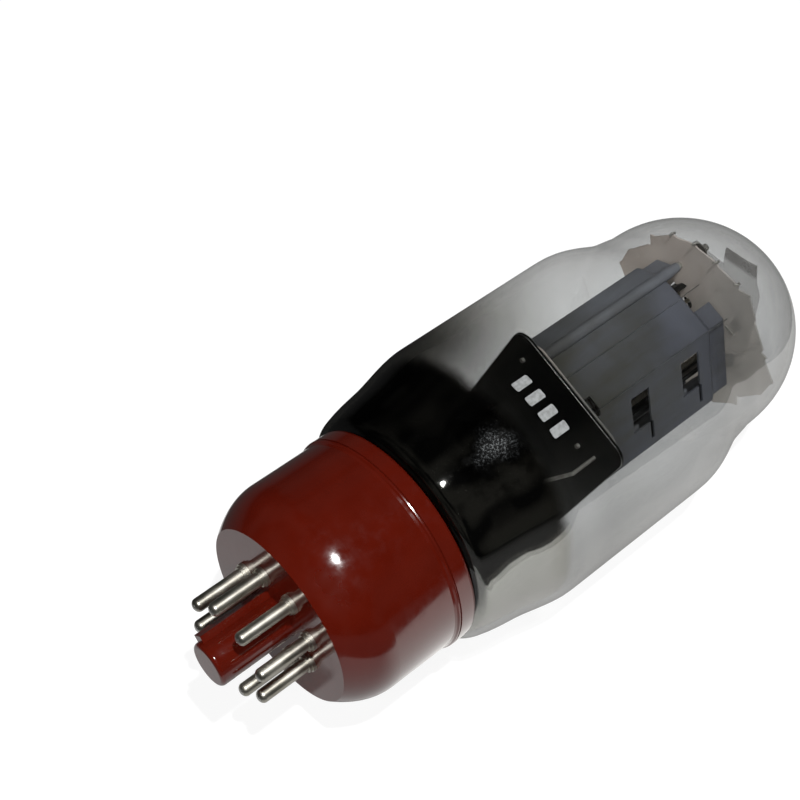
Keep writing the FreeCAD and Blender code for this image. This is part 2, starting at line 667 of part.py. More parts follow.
def wound_grid(rod_at, rod_r, half_height, pitch, turns):
    """Two side rods carrying oval turns of fine wire."""
    rods = [rod(SIDE_ROD_START, SIDE_ROD_END, rod_r, (side * rod_at, 0)) for side in (-1, 1)]
    path = racetrack_wire(GRID_FIRST, rod_at + rod_r * TURN_OVER_ROD, half_height)
    start = path.Edges[0].valueAt(path.Edges[0].FirstParameter)
    circle = Part.Wire(Part.makeCircle(GRID_WIRE_R, start, vec(0, 1, 0)))
    ring = path.makePipeShell([circle], True, False)
    rings = []
    for index in range(turns):
        copy = ring.copy()
        copy.translate(vec(index * pitch))
        rings.append(copy)
    return turned(rods[0].fuse(rods[1:] + rings), GRID_TURN)


def screen_grid():
    return wound_grid(SCREEN_ROD_AT, SCREEN_ROD_R, SCREEN_HALF_HEIGHT, GRID_PITCH, GRID_TURNS)


def control_grid():
    return wound_grid(CONTROL_ROD_AT, CONTROL_ROD_R, CONTROL_HALF_HEIGHT, GRID_PITCH, GRID_TURNS)


def beam_plates():
    """Two shallow channels that close the beams' sides, with tabs through both micas."""
    plates = []
    start = BOTTOM_MICA_X + MICA_THICK + SMALL_GAP
    length = TOP_MICA_X - SMALL_GAP - start
    for side in (0, 180):
        outline = section_outline(BEAM_PLATE_SECTION, BEAM_PLATE_SHEET)
        body = Part.Face(outline_wire(outline, start)).extrude(AXIS * length)
        spine = BEAM_PLATE_SECTION[2][0]
        tab = block(start - BEAM_TAB_PROUD, start + length + BEAM_TAB_PROUD, (spine, 0),
                    BEAM_TAB_HALF_THICK, BEAM_TAB_HALF)
        plates.append(turned(body.fuse(tab), side + GRID_TURN))
    return Part.makeCompound(plates)


def cathode_sleeve():
    outer = Part.Face(racetrack_wire(CATHODE_START, CATHODE_HALF_WIDTH, CATHODE_HALF_THICK))
    inner = Part.Face(racetrack_wire(CATHODE_START, CATHODE_HALF_WIDTH - CATHODE_WALL,
                                     CATHODE_HALF_THICK - CATHODE_WALL))
    sleeve = outer.cut(inner).extrude(AXIS * (CATHODE_END - CATHODE_START))
    return turned(sleeve, GRID_TURN)


def heater():
    """Folded coated wire: four legs joined in turn inside the cathode."""
    top = CATHODE_END - HEATER_INSET
    low = CATHODE_START + HEATER_INSET
    stations = [HEATER_END_X, top, top, low, low, top, top, HEATER_END_X]
    legs = [vec(x, side, 0) for x, side in zip(stations, [leg for leg in HEATER_LEGS for end in (0, 1)])]
    return turned(bent_wire(legs, HEATER_R), GRID_TURN)


def radiator_fins():
    """Blackened plate clipped across the control grid's side rods above the top mica."""
    body = block(FIN_START, FIN_END, (0, 0), FIN_HALF_WIDTH, FIN_THICK / 2)
    wing = block(FIN_START, FIN_START + FIN_THICK, (0, 0), FIN_HALF_WIDTH, FIN_HALF_HEIGHT)
    body = turned(body.fuse(wing), GRID_TURN)
    return body.cut(through_holes(FIN_START - 1, FIN_END + 1))


def mica_eyelets():
    """Rolled eyelets that clamp the anode rods to the micas."""
    eyelets = []
    for station in (TOP_MICA_X + MICA_THICK, UPPER_MICA_X + MICA_THICK):
        for spot in (ANODE_ROD, opposite(ANODE_ROD)):
            ring = rod(station + HAIR_GAP, station + HAIR_GAP + EYELET_THICK, EYELET_R, spot)
            step = rod(station + HAIR_GAP, station + EYELET_HEIGHT, EYELET_NECK_R, spot)
            bore = rod(station - 1, station + 2, ANODE_ROD_R + ROD_CLEARANCE, spot)
            eyelets.append(ring.fuse(step).cut(bore))
    return Part.makeCompound(eyelets)


def getter_rings():
    """Two ring getters beside the pinch, facing the glass."""
    rings = []
    for angle in GETTER_ANGLES:
        ring = Part.makeTorus(GETTER_RING_R, GETTER_WIRE_R, vec(GETTER_X, 0, GETTER_AT), vec(0, 0, 1))
        rings.append(turned(ring, angle))
    return Part.makeCompound(rings)


def getter_supports():
    """Wires that hold the getter rings below the bottom plate."""
    wires = []
    ring_top = GETTER_X + GETTER_RING_R + GETTER_WIRE_R
    for angle in GETTER_ANGLES:
        foot = vec(PLATE_X - GETTER_FOOT_GAP, 0, GETTER_AT - GETTER_WIRE_LEAN)
        knee = vec(ring_top + GETTER_KNEE, 0, GETTER_AT)
        wire = bent_wire([foot, knee, vec(ring_top + FIT_GAP, 0, GETTER_AT)], LEAD_R)
        wires.append(turned(wire, angle))
    return Part.makeCompound(wires)


def in_assembly(shape):
    return turned(shape, ASSEMBLY_ANGLE)


def nodes():
    """Every sub-part by name, in place."""
    made = {"base_shell": base_shell(), "solder_tips": solder_tips(), "base_cement": base_cement(),
            "glass_envelope": glass_envelope(), "getter_mirror": getter_mirror(), "stem_flare": stem_flare(),
            "stem_pinch": in_assembly(stem_pinch()), "exhaust_tip": exhaust_tip(), "pin_wires": pin_wires(),
            "bottom_shield": in_assembly(bottom_shield()), "support_rods": in_assembly(support_rods()),
            "bottom_mica": in_assembly(bottom_mica()), "top_mica": in_assembly(top_mica()),
            "upper_mica": in_assembly(upper_mica()), "anode_half_a": in_assembly(anode_half(0)),
            "anode_half_b": in_assembly(anode_half(180)), "anode_rod_a": in_assembly(anode_rod(0)),
            "anode_rod_b": in_assembly(anode_rod(180)), "anode_sleeve_a": in_assembly(anode_sleeve(0)),
            "anode_sleeve_b": in_assembly(anode_sleeve(180)), "anode_tabs": in_assembly(anode_tabs()),
            "screen_grid": in_assembly(screen_grid()), "control_grid": in_assembly(control_grid()),
            "beam_plates": in_assembly(beam_plates()), "cathode_sleeve": in_assembly(cathode_sleeve()),
            "heater": in_assembly(heater()), "radiator_fins": in_assembly(radiator_fins()),
            "mica_eyelets": in_assembly(mica_eyelets()), "getter_rings": in_assembly(getter_rings()),
            "getter_supports": in_assembly(getter_supports())}
    for number in PIN_ANGLES:
        made["contact_pin_%d" % number] = contact_pin(number)
    for name in LEAD_NAMES:
        made[name] = lead_wire(name)
    return made


os.makedirs("parts", exist_ok=True)
for node_name, node_shape in nodes().items():
    if not node_shape.isValid():
        print("not valid:", node_name)
    node_shape.exportStep("parts/%s.step" % node_name)
    print(node_name, len(node_shape.Solids), round(node_shape.Volume, 2))
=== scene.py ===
"""Vacuum tube lying on a pale table: materials, fine pieces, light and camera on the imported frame."""
import bpy
import json
import math
from mathutils import Matrix, Vector


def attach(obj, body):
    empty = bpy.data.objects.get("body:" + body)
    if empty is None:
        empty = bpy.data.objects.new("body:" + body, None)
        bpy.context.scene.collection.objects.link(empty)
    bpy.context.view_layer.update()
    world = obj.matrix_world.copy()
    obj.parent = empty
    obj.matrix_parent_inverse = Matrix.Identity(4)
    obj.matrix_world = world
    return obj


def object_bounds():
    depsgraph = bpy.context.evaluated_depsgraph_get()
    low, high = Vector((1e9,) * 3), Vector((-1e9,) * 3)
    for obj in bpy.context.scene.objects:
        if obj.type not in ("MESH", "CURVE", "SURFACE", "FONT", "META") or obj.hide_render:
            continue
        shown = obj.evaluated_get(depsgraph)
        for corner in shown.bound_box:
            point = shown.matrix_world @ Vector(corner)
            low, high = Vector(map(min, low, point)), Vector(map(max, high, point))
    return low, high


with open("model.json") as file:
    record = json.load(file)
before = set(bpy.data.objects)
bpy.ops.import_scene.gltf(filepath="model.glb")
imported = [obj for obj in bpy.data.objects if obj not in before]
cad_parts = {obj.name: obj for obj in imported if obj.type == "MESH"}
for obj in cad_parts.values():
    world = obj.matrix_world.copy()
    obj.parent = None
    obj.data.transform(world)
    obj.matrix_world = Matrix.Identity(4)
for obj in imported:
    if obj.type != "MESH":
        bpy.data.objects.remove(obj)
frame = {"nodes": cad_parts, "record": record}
cad_low, cad_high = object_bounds()

# Sizes and stations in millimetres, unless a comment says otherwise.
MM = 0.001
BULB_R = round(cad_high[1] / MM, 2)
BULB_WALL = 1.0
BULB_PROFILE = [(20.9, 17.6), (22.7, 18.1), (23.9, 19.15), (24.6, 20.35), (25.4, 21.25), (26.9, 21.95),
                (30.5, 22.8), (34.5, 23.45), (38.5, 24.4), (41.5, 25.05), (44.5, 25.35), (76.0, 25.35),
                (79.0, 25.24), (82.5, 24.4), (85.5, 23.25), (88.5, 22.4), (92.0, 21.86), (95.9, 21.5)]
BULB_SPAN = 120.0
DOME_START = 95.9
FLOOR_Z = -BULB_R
ASSEMBLY_ANGLE = math.radians(23.3)
PLATE_X = 58.3
MIRROR_FADE = (39.8, 43.2)
SMOKE_END = 74.0

# Places and distances in the shaders, in metres.
SPECK_AT = (0.0371, -0.0098, 0.0209)
SPECK_REACH = 0.0095
SPECK_ROUGH_REACH = 0.006
SPECK_RAGGED = (-0.0015, 0.0035)
SMOKED_SIDE_Y = (-0.014, 0.016)
# Painted shade on the bulb: its low-Y side past the mirror, and its dome.
PAINTED_UNDERSIDE_SHADE_Y = (-0.020, 0.002)
PAST_MIRROR_X = (0.044, 0.052)
PAINTED_DOME_SHADE_X = (0.088, 0.104)
BROWN_MICA_Y = (-0.010, 0.008)
RAISED_CORNER_Z = (0.0125, 0.0135)

# Nodes whose finish differs from their slot's. The anode's half b and its sleeves take a lighter copy of the
# anode sheet, which is painted light.
OWN_FINISH = {"upper_mica": "clear_mica", "anode_sleeve_a": "painted_light_sheet", "anode_sleeve_b": "painted_light_sheet",
              # The beam plates take the black plate finish: painted shade inside the anode.
              "anode_half_b": "painted_light_sheet", "beam_plates": "black_plate"}

# Anode fold line points (u, v), and the stations along the axis.
ANODE_FOLDS = [(3.7, 8.1), (-3.8, 8.1)]
ANODE_SPAN = (62.0, 95.2)
ANODE_FLARED_SPAN = (96.2, 100.1)
ANODE_HALF_SHEET = 0.2
ANODE_FLARE = 0.55
CREASE_R = 0.07
CREASE_INSET = 0.1

# Bright line round the bottom plate's edge: a painted highlight.
PLATE_EDGE_HALVES = (14.25, 17.35)
PLATE_EDGE_CORNER = 3.0
PLATE_EDGE_R = 0.08
PLATE_EDGE_INSET = 0.03

# Lugs on the top mica: angle and radius in the assembly's axes, and one lug's bends.
TOP_MICA_X = 100.4
MICA_LUGS = [(40.0, 18.2), (57.0, 17.7), (74.0, 16.5), (93.0, 16.3)]
LUG_SHAPE = [(-0.5, -1.2, 0.1), (-0.2, 0.0, 0.5), (0.4, 0.8, 0.45), (0.7, -0.4, 0.1)]
LUG_R = 0.2

# Printed bars on the bulb.
MARK_X = 47.5
MARK_HALF_LENGTH = 1.7
MARK_ANGLES = [101.2, 108.4, 115.6, 122.8]
MARK_HALF_TURN = 2.0
MARK_ROWS = 6
MARK_COLUMNS = 8
MARK_PROUD = 0.012
MARK_END_ROUND = 0.12
MARK_END_POWER = 6

CAMERA_AT = Vector((-73.09, -110.19, 198.84)) * MM
CAMERA_RIGHT = Vector((0.74834, -0.66329, 0.00540))
CAMERA_UP = Vector((0.49243, 0.56100, 0.66543))
CAMERA_LENS = 66.37
CAMERA_SENSOR = 36.0

# Lamps: directions from the scene's centre, metres and watts.
SCENE_CENTRE = Vector((45.0, 0.0, 0.0)) * MM
LAMP_DISTANCE = 0.8
KEY_FROM = Vector((-0.125, -0.31, 0.94))
KEY_SIZE = 0.03
KEY_POWER = 7.0
FILL_FROM = Vector((-0.6, -0.45, 0.66))
FILL_SIZE = 0.5
FILL_POWER = 5.0

# Tones of the dark room that the reflections see.
ROOM_TONES = [(0.45, (0.006, 0.006, 0.006)), (0.6, (0.035, 0.034, 0.03))]

# The floor, and the part of it that reflections see as pale, in metres. That part glows, brighter towards
# the dome: painted light.
FLOOR_SIZE = 6.0
FLOOR_GAP = 0.00005
PALE_X = (-0.045, 0.165)
PALE_NEAR_Y = -0.070
PALE_FAR_Y = 0.050
PALE_SLANT_FROM_X = 0.025
PALE_SLANT = 1.45
PALE_EDGE = 0.003
GLOW_X = (0.0, 0.03)
GLOW_STRENGTH = (0.08, 0.85)


# ---- shader helpers --------------------------------------------------------------
class Shader:
    """A material and short ways to add and join its nodes."""

    def __init__(self, name):
        self.material = bpy.data.materials.new(name)
        self.material.use_nodes = True
        self.tree = self.material.node_tree
        self.tree.nodes.clear()
        self.output = self.add("ShaderNodeOutputMaterial")

    def add(self, kind, **values):
        node = self.tree.nodes.new(kind)
        for key, value in values.items():
            setattr(node, key, value)
        return node

    def put(self, node, name, value):
        """Sets an input to a value, or joins it to another node's output."""
        socket = node.inputs[name]
        if isinstance(value, bpy.types.NodeSocket):
            self.tree.links.new(value, socket)
        else:
            socket.default_value = value
        return node

    def place(self):
        return self.add("ShaderNodeTexCoord").outputs["Object"]

    def noise(self, scale, detail=3.0, roughness=0.5, vector=None):
        node = self.add("ShaderNodeTexNoise")
        self.put(node, "Vector", vector or self.place())
        self.put(node, "Scale", scale)
        self.put(node, "Detail", detail)
        self.put(node, "Roughness", roughness)
        return node.outputs["Fac"]

    def stretched(self, x, y, z):
        """Object coordinates scaled differently along each axis."""
        node = self.add("ShaderNodeMapping")
        self.put(node, "Vector", self.place())
        self.put(node, "Scale", (x, y, z))
        return node.outputs["Vector"]

    def math(self, operation, first, second=0.0):
        node = self.add("ShaderNodeMath", operation=operation)
        self.put(node, 0, first)
        self.put(node, 1, second)
        return node.outputs[0]

    def remap(self, value, low, high, to_low=0.0, to_high=1.0, smooth=True):
        node = self.add("ShaderNodeMapRange")
        if smooth:
            node.interpolation_type = "SMOOTHSTEP"
        self.put(node, "Value", value)
        self.put(node, "From Min", low)
        self.put(node, "From Max", high)
        self.put(node, "To Min", to_low)
        self.put(node, "To Max", to_high)
        return node.outputs[0]

    def ramp(self, value, stops):
        node = self.add("ShaderNodeValToRGB")
        self.put(node, "Fac", value)
        elements = node.color_ramp.elements
        while len(elements) < len(stops):
            elements.new(0.5)
        for element, (position, colour) in zip(elements, stops):
            element.position = position
            element.color = (*colour, 1.0)
        return node.outputs["Color"]

    def bump(self, height, strength, distance, normal=None):
        node = self.add("ShaderNodeBump")
        self.put(node, "Height", height)
        self.put(node, "Strength", strength)
        self.put(node, "Distance", distance)
        if normal is not None:
            self.put(node, "Normal", normal)
        return node.outputs["Normal"]

    def surface(self, **values):
        node = self.add("ShaderNodeBsdfPrincipled")
        for key, value in values.items():
            self.put(node, key.replace("_", " "), value)
        return node.outputs["BSDF"]

    def mix(self, share, first, second):
        node = self.add("ShaderNodeMixShader")
        self.put(node, 0, share)
        self.put(node, 1, first)
        self.put(node, 2, second)
        return node.outputs[0]

    def blend(self, share, first, second, kind="MIX"):
        """Mixes two colours."""
        node = self.add("ShaderNodeMixRGB", blend_type=kind)
        self.put(node, 0, share)
        self.put(node, 1, first)
        self.put(node, 2, second)
        return node.outputs[0]

    def clear(self, colour=(1.0, 1.0, 1.0, 1.0)):
        node = self.add("ShaderNodeBsdfTransparent")
        self.put(node, "Color", colour)
        return node.outputs[0]

    def axes(self):
        """The X, Y and Z of a place on the object, in metres."""
        node = self.add("ShaderNodeSeparateXYZ")
        self.put(node, 0, self.place())
        return [node.outputs[axis] for axis in "XYZ"]

    def axis_place(self):
        """Position along the tube's axis, in millimetres."""
        return self.math("DIVIDE", self.axes()[0], MM)

    def finish(self, shader):
        self.tree.links.new(shader, self.output.inputs["Surface"])
        return self.material


# ---- materials -------------------------------------------------------------------
def phenolic():
    s = Shader("phenolic")
    cloud = s.noise(220.0, 4.0)
    colour = s.ramp(cloud, [(0.3, (0.056, 0.0036, 0.0012)), (0.7, (0.064, 0.0044, 0.0016))])
    scratch = s.noise(1.0, 2.0, 0.5, s.stretched(300.0, 4200.0, 4200.0))
    fine = s.noise(2600.0, 2.0)
    normal = s.bump(scratch, 0.06, 0.00002, s.bump(fine, 0.08, 0.00002))
    rough = s.remap(s.noise(500.0, 5.0), 0.35, 0.7, 0.10, 0.2)
    return s.finish(s.surface(Base_Color=colour, Roughness=rough, Normal=normal, Coat_Weight=0.35,
                              Coat_Roughness=0.05, IOR=1.55))


def nickel(name, light, dark, rough_low, rough_high, blotch=900.0, metallic=1.0):
    s = Shader(name)
    stain = s.noise(blotch, 3.0)
    colour = s.ramp(stain, [(0.32, dark), (0.6, light)])
    rough = s.remap(s.noise(blotch / 2, 2.0), 0.3, 0.7, rough_low, rough_high)
    return s.finish(s.surface(Base_Color=colour, Metallic=metallic, Roughness=rough))


def speck_patch(s, inside, outside, reach):
    """One value in the middle of the speckled patch and another beyond its reach."""
    away = s.add("ShaderNodeVectorMath", operation="DISTANCE")
    s.put(away, 0, s.place())
    s.put(away, 1, SPECK_AT)
    ragged = s.remap(s.noise(260.0), 0.3, 0.7, *SPECK_RAGGED)
    return s.remap(s.math("ADD", away.outputs["Value"], ragged), reach / 3, reach, inside, outside)


def outside_of_bulb(s):
    """1 on the bulb's outer skin and 0 on its inner skin, from the distance to the axis."""
    x, y, z = [s.math("DIVIDE", axis, MM) for axis in s.axes()]
    beyond = s.math("MAXIMUM", s.math("SUBTRACT", x, DOME_START), 0.0)
    around = s.math("ADD", s.math("MULTIPLY", y, y), s.math("MULTIPLY", z, z))
    reach = s.math("SQRT", s.math("ADD", around, s.math("MULTIPLY", beyond, beyond)))
    stops = [(x_stop / BULB_SPAN, (radius / BULB_R,) * 3) for x_stop, radius in BULB_PROFILE]
    profile = s.math("MULTIPLY", s.ramp(s.math("DIVIDE", x, BULB_SPAN), stops), BULB_R)
    return s.math("GREATER_THAN", reach, s.math("SUBTRACT", profile, BULB_WALL / 2))


def bulb_tint_and_painted_shade(s, facing):
    """Colour of light through the wall: darker at its rims and smoked past the mirror, with painted shade on
    its low-Y side and over its dome.
    """
    tint = s.ramp(facing, [(0.0, (0.84, 0.85, 0.85)), (0.3, (0.815, 0.825, 0.825)),
                           (0.65, (0.69, 0.693, 0.69)), (0.85, (0.565, 0.568, 0.565)),
                           (0.95, (0.50, 0.503, 0.50)), (1.0, (0.42, 0.423, 0.42))])
    reach = s.remap(s.axis_place(), MIRROR_FADE[1], SMOKE_END)
    smoke = s.ramp(reach, [(0.0, (0.10, 0.098, 0.091)), (0.4, (0.46, 0.455, 0.435)), (1.0, (1.0, 1.0, 1.0))])
    x, y = s.axes()[:2]
    smoked = s.blend(s.remap(y, *SMOKED_SIDE_Y, 0.25, 1.0), tint, smoke, "MULTIPLY")
    # Painted shade: darkens the wall on its low-Y side past the mirror and over its dome.
    painted_underside_shade = s.math("MULTIPLY", s.remap(y, *PAINTED_UNDERSIDE_SHADE_Y, 1.0, 0.0), s.remap(x, *PAST_MIRROR_X))
    painted_dome_shade = s.remap(x, *PAINTED_DOME_SHADE_X, 0.0, 0.65)
    return s.blend(s.math("MAXIMUM", painted_underside_shade, painted_dome_shade), smoked, (0.8, 0.8, 0.8, 1.0), "MULTIPLY")


def bulb_glass():
    """Thin clear wall with a gloss that grows towards its rims and fades in the speckled patch."""
    s = Shader("bulb_glass")
    weight = s.add("ShaderNodeLayerWeight")
    s.put(weight, "Blend", 0.5)
    tint = bulb_tint_and_painted_shade(s, weight.outputs["Facing"])
    wave = s.noise(1.0, 2.0, 0.5, s.stretched(40.0, 70.0, 70.0))
    rough = speck_patch(s, 0.3, 0.03, SPECK_ROUGH_REACH)
    gloss = s.surface(Base_Color=(0.95, 0.95, 0.95, 1.0), Metallic=1.0, Roughness=rough,
                      Normal=s.bump(wave, 0.15, 0.0004))
    fresnel = s.math("MINIMUM", weight.outputs["Fresnel"], 0.3)
    share = s.math("MULTIPLY", fresnel, speck_patch(s, 0.002, 0.5, SPECK_REACH))
    outer = s.mix(share, s.clear(tint), gloss)
    inner = s.mix(s.math("MULTIPLY", share, 0.4), s.clear((0.985, 0.985, 0.985, 1.0)), gloss)
    return s.finish(s.mix(outside_of_bulb(s), inner, outer))


def stem_glass():
    s = Shader("stem_glass")
    tint = s.ramp(s.noise(160.0), [(0.3, (0.7, 0.8, 0.78)), (0.7, (0.8, 0.86, 0.85))])
    return s.finish(s.surface(Base_Color=tint, Transmission_Weight=1.0, Roughness=0.05, IOR=1.5))


def getter_film():
    """Dark metal mirror that thins to brown and then to nothing at its upper edge."""
    s = Shader("getter_film")
    ragged = s.noise(140.0, 3.0)
    place = s.math("ADD", s.axis_place(), s.remap(ragged, 0.3, 0.7, -0.3, 0.3))
    cover = s.remap(place, *MIRROR_FADE, 1.0, 0.0)
    cloud = s.noise(90.0, 3.0)
    thick = s.ramp(cloud, [(0.3, (0.56, 0.55, 0.52)), (0.7, (0.66, 0.65, 0.62))])
    edge = s.remap(place, MIRROR_FADE[0] - 3.0, MIRROR_FADE[0] + 2.0, 0.0, 1.0)
    tint = s.blend(edge, thick, (0.52, 0.50, 0.46, 1.0))
    grains = s.ramp(s.noise(2600.0, 3.0, 0.7), [(0.5, (0.003, 0.003, 0.003)), (0.74, (0.08, 0.083, 0.085))])
    colour = s.blend(speck_patch(s, 1.0, 0.0, SPECK_REACH), tint, grains)
    wave = s.noise(1.0, 1.0, 0.4, s.stretched(40.0, 50.0, 50.0))
    smear = s.remap(s.noise(800.0, 4.0), 0.5, 0.75, 0.02, 0.07)
    rough = s.math("ADD", smear, speck_patch(s, 0.2, 0.0, SPECK_ROUGH_REACH))
    metal = s.surface(Base_Color=colour, Metallic=1.0, Roughness=rough, Normal=s.bump(wave, 0.08, 0.0004))
    return s.finish(s.mix(cover, s.clear(), metal))


def carbonised(name, light, dark, rough_low, rough_high):
    """Sheet metal with a dull carbon coat, streaked along the rolling direction."""
    s = Shader(name)
    streak = s.noise(1.0, 4.0, 0.6, s.stretched(60.0, 500.0, 500.0))
    cloud = s.noise(90.0, 4.0)
    heat = s.remap(s.axis_place(), ANODE_SPAN[0], ANODE_SPAN[1], -0.12, 0.12)
    mixed = s.math("ADD", s.math("MULTIPLY", streak, 0.35), s.math("MULTIPLY", cloud, 0.65))
    colour = s.ramp(s.math("ADD", mixed, heat), [(0.34, dark), (0.68, light)])
    rough = s.remap(cloud, 0.3, 0.7, rough_low, rough_high)
    normal = s.bump(s.noise(3500.0, 3.0), 0.15, 0.00002)
    return s.finish(s.surface(Base_Color=colour, Metallic=0.2, Roughness=rough, Normal=normal))


def mica():
    """Flaky sheet, brown and nearly opaque towards +Y, greyer and clearer towards -Y."""
    s = Shader("mica")
    flake = s.noise(260.0, 5.0, 0.6)
    brown = s.ramp(flake, [(0.3, (0.70, 0.61, 0.55)), (0.7, (0.84, 0.76, 0.70))])
    grey = s.ramp(flake, [(0.3, (0.50, 0.49, 0.47)), (0.7, (0.66, 0.65, 0.63))])
    brown_side = s.remap(s.axes()[1], *BROWN_MICA_Y)
    sheet = s.surface(Base_Color=s.blend(brown_side, grey, brown), Roughness=0.3,
                      Normal=s.bump(flake, 0.1, 0.0001))
    share = s.math("MULTIPLY", s.remap(flake, 0.3, 0.75, 1.0, 0.8),
                   s.remap(brown_side, 0.0, 1.0, 0.5, 0.85))
    return s.finish(s.mix(share, s.clear((0.84, 0.80, 0.76, 1.0)), sheet))


def clear_mica():
    """Nearly clear sheet that darkens at its raised corner."""
    s = Shader("clear_mica")
    flake = s.noise(300.0, 5.0, 0.6)
    corner = s.remap(s.axes()[2], *RAISED_CORNER_Z, 0.16, 0.5)
    colour = s.ramp(flake, [(0.3, (0.20, 0.185, 0.175)), (0.7, (0.34, 0.325, 0.315))])
    sheet = s.surface(Base_Color=colour, Roughness=0.3, Normal=s.bump(flake, 0.1, 0.0001))
    return s.finish(s.mix(corner, s.clear((0.93, 0.925, 0.92, 1.0)), sheet))


def matt(name, light, dark):
    s = Shader(name)
    grain = s.noise(1800.0, 4.0)
    colour = s.ramp(grain, [(0.3, dark), (0.7, light)])
    return s.finish(s.surface(Base_Color=colour, Roughness=0.8, Normal=s.bump(grain, 0.3, 0.00005)))


def print_ink():
    s = Shader("print_ink")
    worn = s.noise(1600.0, 4.0)
    colour = s.ramp(worn, [(0.35, (0.15, 0.155, 0.155)), (0.6, (0.23, 0.24, 0.24))])
    return s.finish(s.surface(Base_Color=colour, Roughness=0.55))


def paint_nodes():
    """Gives every carried-over CAD node the finish of its slot, or the finish that OWN_FINISH lists for it.
    """
    finishes = {
        "phenolic": phenolic(),
        "pin_plating": nickel("pin_plating", (0.54, 0.52, 0.46), (0.42, 0.40, 0.34), 0.32, 0.44, 400.0),
        "solder": nickel("solder", (0.66, 0.65, 0.62), (0.42, 0.41, 0.39), 0.2, 0.4, 1400.0),
        "cement": matt("cement", (0.42, 0.36, 0.27), (0.30, 0.25, 0.18)),
        "bulb_glass": bulb_glass(),
        "stem_glass": stem_glass(),
        "getter_film": getter_film(),
        "black_plate": carbonised("black_plate", (0.004, 0.0043, 0.0046), (0.002, 0.0022, 0.0024),
                                  0.3, 0.42),
        "anode_sheet": carbonised("anode_sheet", (0.118, 0.125, 0.152), (0.078, 0.077, 0.066), 0.45, 0.62),
        "bright_wire": nickel("bright_wire", (0.42, 0.41, 0.38), (0.28, 0.27, 0.24), 0.4, 0.55, 900.0, 0.5),
        "lead_wire": nickel("lead_wire", (0.06, 0.05, 0.045), (0.03, 0.025, 0.02), 0.4, 0.6),
        "grid_wire": nickel("grid_wire", (0.45, 0.42, 0.35), (0.32, 0.29, 0.23), 0.4, 0.55, 900.0, 0.6),
        "mica": mica(),
        "cathode_coating": matt("cathode_coating", (0.78, 0.78, 0.75), (0.6, 0.6, 0.57)),
        "heater_coating": matt("heater_coating", (0.82, 0.82, 0.8), (0.66, 0.66, 0.63)),
    }
    finishes["clear_mica"] = clear_mica()
    # A lighter copy of the anode sheet: painted light on the anode's half b and its sleeves.
    finishes["painted_light_sheet"] = carbonised("painted_light_sheet", (0.19, 0.20, 0.225), (0.12, 0.12, 0.12), 0.4, 0.55)
    for entry in frame["record"]["subparts"]:
        node = frame["nodes"][entry["node"]]
        node.data.materials.clear()
        finish = OWN_FINISH.get(entry["node"], entry["material_slot"])
        node.data.materials.append(finishes[finish])
    return finishes


# ---- added pieces ----------------------------------------------------------------
def in_assembly(x, u, v):
    """A point of the electrode assembly, in metres in the row frame."""
    y = u * math.cos(ASSEMBLY_ANGLE) - v * math.sin(ASSEMBLY_ANGLE)
    z = u * math.sin(ASSEMBLY_ANGLE) + v * math.cos(ASSEMBLY_ANGLE)
    return Vector((x, y, z)) * MM


def add_piece(name, data, material):
    piece = bpy.data.objects.new(name, data)
    bpy.context.scene.collection.objects.link(piece)
    piece.data.materials.append(material)
    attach(piece, "root")
    return piece


def wires(name, lines, radius, material, closed=False):
    """Round wires through lists of points, as one curve piece."""
    curve = bpy.data.curves.new(name, "CURVE")
    curve.dimensions = "3D"
    curve.bevel_depth = radius * MM
    curve.bevel_resolution = 2
    curve.use_fill_caps = True
    for points in lines:
        spline = curve.splines.new("POLY")
        spline.points.add(len(points) - 1)
        for knot, point in zip(spline.points, points):
            knot.co = (*point, 1.0)
        spline.use_cyclic_u = closed
    return add_piece(name, curve, material)


def rounded_outline(half_u, half_v, corner, steps=8):
    points = []
    for quarter, (side_u, side_v) in enumerate([(1, 1), (-1, 1), (-1, -1), (1, -1)]):
        for step in range(steps + 1):
            angle = math.pi / 2 * (quarter + step / steps)
            points.append((side_u * (half_u - corner) + corner * math.cos(angle),
                           side_v * (half_v - corner) + corner * math.sin(angle)))
    return points


def plate_edge(finishes):
    """Bright line round the black plate's lower face: a painted highlight along its edge."""
    corners = rounded_outline(*PLATE_EDGE_HALVES, PLATE_EDGE_CORNER)
    outline = [in_assembly(PLATE_X + PLATE_EDGE_INSET, u, v) for u, v in corners]
    wires("plate_edge", [outline], PLATE_EDGE_R, finishes["painted_edge_highlight"], closed=True)


def anode_creases(finishes):
    """Lighter lines along the anode's folds: a painted highlight."""
    lines = []
    for side in (1, -1):
        for u, v in ANODE_FOLDS:
            grow = 1.0 + ANODE_HALF_SHEET / math.hypot(u, v)
            flare = 1.0 + (ANODE_HALF_SHEET + ANODE_FLARE) / math.hypot(u, v)
            stations = [(ANODE_SPAN[0] + CREASE_INSET, grow), (ANODE_SPAN[1], grow),
                        (ANODE_FLARED_SPAN[0], flare), (ANODE_FLARED_SPAN[1] - CREASE_INSET, flare)]
            lines.append([in_assembly(x, side * u * scale, side * v * scale) for x, scale in stations])
    wires("anode_creases", lines, CREASE_R, finishes["painted_fold_highlight"])


def mica_lugs(finishes):
    """Small crimped lugs round the top mica's upper edge, each a bent scrap of bright wire."""
    lines = []
    for angle, radius in MICA_LUGS:
        spots = []
        for step_x, turn, out in LUG_SHAPE:
            spot_angle = math.radians(angle + turn)
            reach = radius + out
            u = reach * math.cos(spot_angle)
            v = reach * math.sin(spot_angle)
            spots.append(in_assembly(TOP_MICA_X + step_x, u, v))
        lines.append(spots)
    wires("mica_lugs", lines, LUG_R, finishes["bright_wire"])


